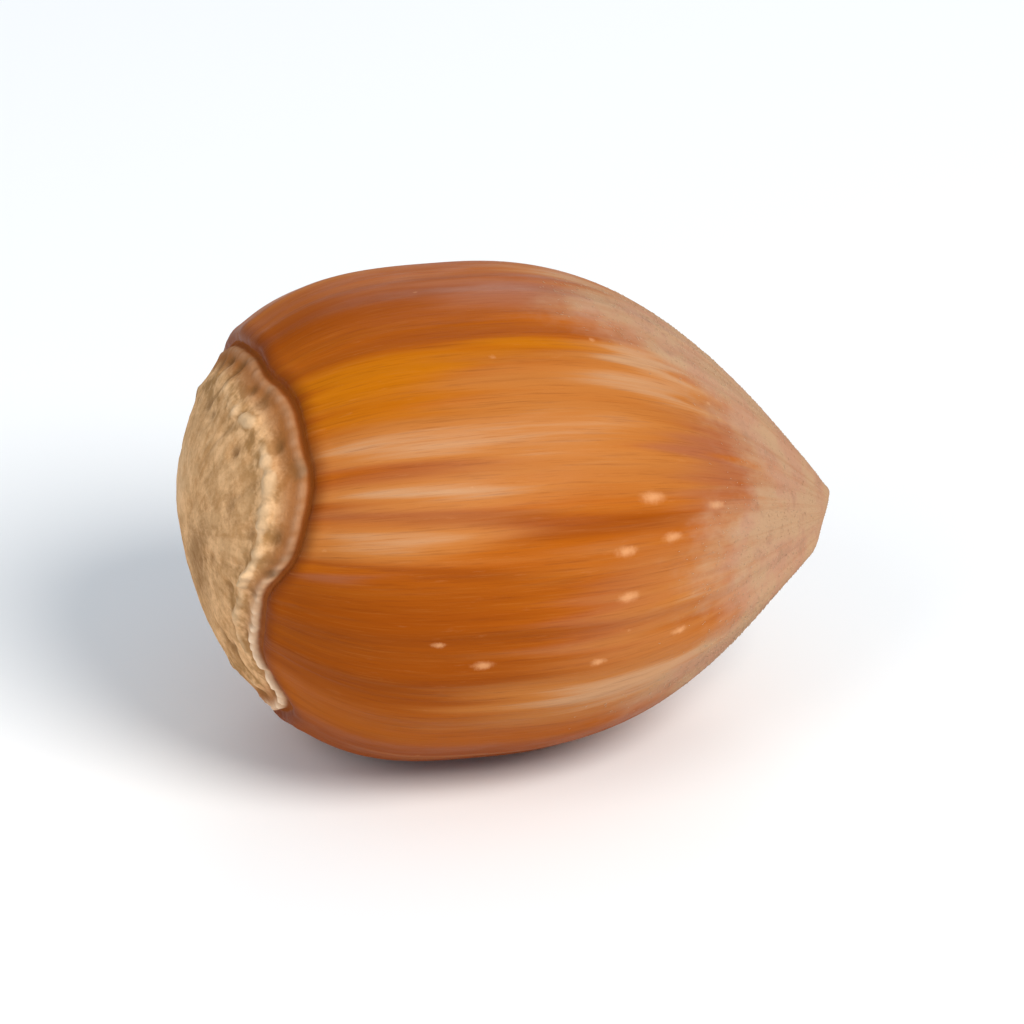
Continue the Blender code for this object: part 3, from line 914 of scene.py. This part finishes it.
def hilum_colour(n):
    """Beige and mottled, pale on the ridge and the lip, brown in the pits and towards the skin's edge."""
    radial = n.noise(n.stretched((1.6, 1.6, 0.5)), detail=3.0)
    mottle = n.noise(n.millimetres(), scale=0.8, detail=6.0, roughness=0.7)
    speckle = n.noise(n.millimetres(), scale=4.0, detail=4.0, roughness=0.7)
    tone = n.add(n.add(n.times(radial, 0.25), n.times(mottle, 0.5)), n.times(speckle, 0.25))
    colour = n.mix(n.step(tone, 0.38, 0.60), HILUM_DARK, HILUM_LIGHT)
    smudge = n.noise(n.millimetres(), scale=1.1, detail=3.0, roughness=0.6)
    beside_ridge = n.step(n.attribute("outward"), 0.60, 0.72, 0.3, 0.75)
    colour = n.mix(n.times(beside_ridge, n.step(smudge, 0.40, 0.60)), colour, HILUM_OLIVE)
    outer = n.step(n.attribute("outward"), 0.78, 0.94)
    colour = n.mix(n.times(outer, 0.6), colour, HILUM_ROSY)
    colour = n.mix(n.times(n.times(outer, n.attribute("weathered")), 0.85), colour, HILUM_UMBER)
    rough = n.times(n.add(speckle, -0.5), 0.10)
    deep = n.step(n.add(n.attribute("scar"), rough), -0.02, -0.16)
    colour = n.mix(n.times(deep, 0.6), colour, HILUM_PIT)
    high = n.times(n.step(n.add(n.attribute("scar"), rough), 0.03, 0.13), 0.3)
    colour = n.mix(high, colour, RIDGE_PALE)
    colour = n.mix(n.times(n.step(n.attribute("ridge"), 0.4, 0.9), 0.4), colour, RIDGE_PALE)
    colour = n.mix(n.times(n.attribute("lip"), 0.9), colour, LIP)
    return colour


def nut_material():
    """The shell and the hilum on one skin, which meet along a frayed line at the edge of the brown skin."""
    n = Nodes("hazelnut_skin")
    shell, down, fine = shell_colour(n)
    hilum = hilum_colour(n)
    fray = n.times(n.add(n.noise(n.millimetres(), scale=2.0, detail=4.0), -0.5), 0.12)
    edge = n.add(n.attribute("past_edge"), fray)
    on_shell = n.step(edge, -0.06, 0.04)
    colour = n.mix(on_shell, hilum, shell)
    # Painted shade: brown in the crevice at the skin's edge
    crevice = n.step(n.add(n.attribute("crevice"), fray), 0.20, 0.85)
    colour = n.mix(n.times(crevice, 0.85), colour, CREVICE_SHADE)
    n.put(colour, n.shader.inputs["Base Color"])

    waxy = n.times(on_shell, n.math("SUBTRACT", 1.0, down))
    patchy = n.noise(n.stretched((1.0, 1.0, 0.4)), detail=4.0, roughness=0.6)
    gloss = n.step(patchy, 0.3, 0.7, 0.36, 0.52)
    n.put(n.step(waxy, 0.0, 1.0, 0.88, gloss), n.shader.inputs["Roughness"])
    n.shader.inputs["Specular IOR Level"].default_value = 0.05

    grain = n.noise(n.stretched((9.0, 9.0, 0.9)), detail=4.0, roughness=0.6)
    fibres = n.noise(n.millimetres(), scale=5.0, detail=5.0, roughness=0.7)
    height = n.add(n.times(on_shell, n.add(n.times(fine, 0.3), n.times(grain, 0.25))),
                   n.times(n.math("SUBTRACT", 1.0, on_shell), n.times(fibres, 1.8)))
    height = n.add(height, n.times(down, n.times(fibres, 0.9)))
    n.put(n.bump(height, 0.03 * MM), n.shader.inputs["Normal"])
    return n.material


def down_material():
    """Pale dry hairs, each a little lighter or darker than the next."""
    n = Nodes("hazelnut_down")
    tone = n.noise(n.millimetres(), scale=2.5, detail=3.0)
    n.put(n.mix(n.step(tone, 0.35, 0.65), DOWN_TAN, HAIR), n.shader.inputs["Base Color"])
    n.shader.inputs["Roughness"].default_value = 0.8
    n.shader.inputs["Specular IOR Level"].default_value = 0.15
    return n.material


def place_nut():
    skin, shift = make_skin()
    skin.data.materials.append(nut_material())
    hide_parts(NODE)
    down = make_down(shift)
    down.data.materials.append(down_material())
    for piece in (skin, down):
        bpy.context.scene.collection.objects.link(piece)
        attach(piece, "root")


def floor():
    mesh = bpy.data.meshes.new("floor")
    shape = bmesh.new()
    bmesh.ops.create_grid(shape, x_segments=1, y_segments=1, size=FLOOR_HALF_SIZE)
    shape.to_mesh(mesh)
    shape.free()
    plane = bpy.data.objects.new("floor", mesh)
    bpy.context.scene.collection.objects.link(plane)
    n = Nodes("floor")
    n.shader.inputs["Base Color"].default_value = FLOOR_COLOUR
    n.shader.inputs["Roughness"].default_value = 0.7
    n.shader.inputs["Specular IOR Level"].default_value = 0.1
    mesh.materials.append(n.material)


def area_light(name, position, size, power, colour):
    light = bpy.data.lights.new(name, "AREA")
    light.shape = "DISK"
    light.size = size
    light.energy = power
    light.color = colour
    holder = bpy.data.objects.new(name, light)
    holder.location = position
    holder.rotation_euler = (Vector(LIGHTS_AIM) - Vector(position)).to_track_quat("-Z", "Y").to_euler()
    bpy.context.scene.collection.objects.link(holder)


def lights():
    world = bpy.data.worlds.new("studio")
    world.use_nodes = True
    sky = world.node_tree.nodes["Background"]
    sky.inputs["Color"].default_value = SKY_COLOUR
    sky.inputs["Strength"].default_value = SKY_STRENGTH
    bpy.context.scene.world = world
    for light in LIGHTS:
        area_light(*light)


def camera():
    azimuth = math.radians(AZIMUTH)
    elevation = math.radians(ELEVATION)
    away = Vector((math.sin(azimuth) * math.cos(elevation),
                   -math.cos(azimuth) * math.cos(elevation),
                   math.sin(elevation)))
    low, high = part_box(NODE)
    target = (Vector(low) + Vector(high)) / 2 - Vector((0, 0, AIMED_BELOW_MIDDLE))
    lens = bpy.data.cameras.new("camera")
    lens.lens = LENS
    lens.clip_start = 0.01
    holder = bpy.data.objects.new("camera", lens)
    holder.location = target + away * CAMERA_DISTANCE
    holder.rotation_euler = (-away).to_track_quat("-Z", "Y").to_euler()
    bpy.context.scene.collection.objects.link(holder)
    bpy.context.scene.camera = holder


bpy.context.scene.view_settings.view_transform = "Standard"
place_nut()
floor()
lights()
camera()
